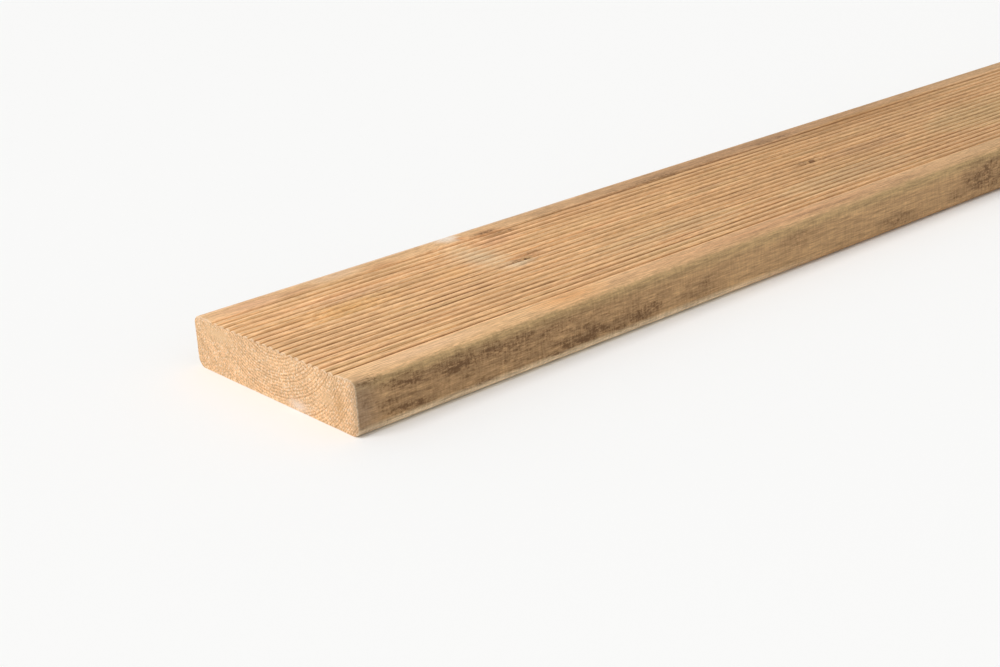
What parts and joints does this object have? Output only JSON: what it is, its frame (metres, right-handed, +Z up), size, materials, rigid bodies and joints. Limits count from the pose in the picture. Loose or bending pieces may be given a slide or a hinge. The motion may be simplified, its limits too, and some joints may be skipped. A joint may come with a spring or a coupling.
{
  "type": "decking board",
  "caption": "Long flat planed softwood board for terraces and walkways: one ribbed face, one smooth face, rounded long edges and square-sawn ends.",
  "frame": {"origin": "middle of the smooth underside, on which the board lies", "axes": "+X along the board, +Y across it, +Z up out of the ribbed face"},
  "size_m": [2.4, 0.145, 0.03],
  "materials": {
    "treated_pine": "planed and ribbed pressure-treated pine, matt, with weather stains on the edges"
  },
  "bodies": {
    "root": {"decking_board": "treated_pine"}
  },
  "joints": []
}
